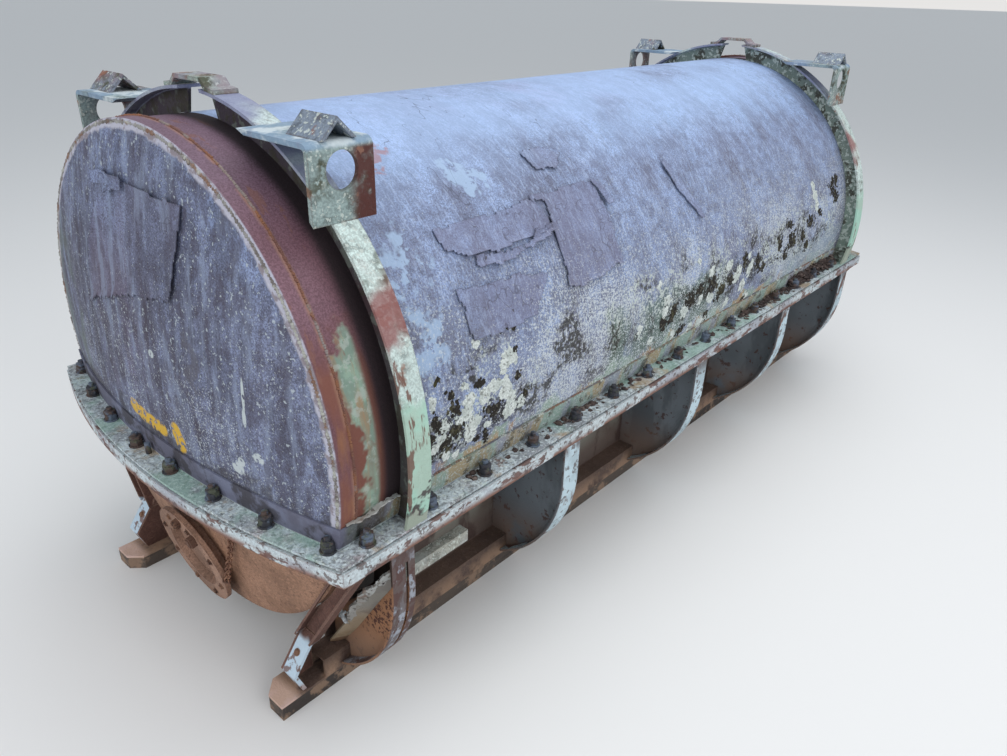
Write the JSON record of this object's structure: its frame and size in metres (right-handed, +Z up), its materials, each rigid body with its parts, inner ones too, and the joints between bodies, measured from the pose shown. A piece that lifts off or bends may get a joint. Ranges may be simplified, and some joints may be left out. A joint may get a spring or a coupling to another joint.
{
  "type": "horizontal pressurised steel container on skids",
  "caption": "Horizontal round steel pressure container split at a bolted flange, with dished heads, ring frames, lifting brackets, ribs and skids.",
  "frame": {"origin": "on the level ground under the middle of the container", "axes": "+X along the barrel away from the port end, +Y to the left seen from the port end, +Z up"},
  "size_m": [2.656, 1.1538, 1.223],
  "materials": {
    "shell_paint": "weathered chalky paint",
    "head_paint": "weathered chalky paint",
    "frame_paint": "weathered, rust and moss",
    "gasket_rubber": "aged rubber",
    "lip_paint": "chipped",
    "lower_paint": "weathered",
    "rust_primer": "orange rust and primer",
    "rib_paint": "weathered",
    "skid_rust": "rusty",
    "rail_wood": "dark weathered timber",
    "chain_steel": "rusty"
  },
  "bodies": {
    "root": {"upper_shell": "shell_paint", "upper_head_near": "head_paint", "upper_head_far": "head_paint", "upper_flange": "frame_paint", "gasket": "gasket_rubber", "lower_flange": "lip_paint", "lower_shell": "lower_paint", "lower_head_near": "rust_primer", "lower_head_far": "lower_paint", "ring_near": "frame_paint", "ring_far": "frame_paint", "strap_near": "frame_paint", "strap_far": "frame_paint", "bracket_near_right": "frame_paint", "bracket_near_left": "frame_paint", "bracket_far_right": "frame_paint", "bracket_far_left": "frame_paint", "stack_angle_near_right": "frame_paint", "stack_angle_near_left": "frame_paint", "stack_angle_far_right": "frame_paint", "stack_angle_far_left": "frame_paint", "rib_right_1": "rib_paint", "rib_right_2": "rib_paint", "rib_right_3": "rib_paint", "rib_right_4": "rib_paint", "rib_right_5": "rib_paint", "rib_left_1": "rib_paint", "rib_left_2": "rib_paint", "rib_left_3": "rib_paint", "rib_left_4": "rib_paint", "rib_left_5": "rib_paint", "bay_angle": "lip_paint", "skid_right": "skid_rust", "skid_left": "skid_rust", "rub_rail_right": "rail_wood", "rub_rail_left": "rail_wood", "brace_near_right": "skid_rust", "brace_near_left": "skid_rust", "brace_far_right": "skid_rust", "brace_far_left": "skid_rust", "port_neck": "rust_primer", "port_cover": "rust_primer", "cover_chain": "chain_steel"}
  },
  "joints": []
}
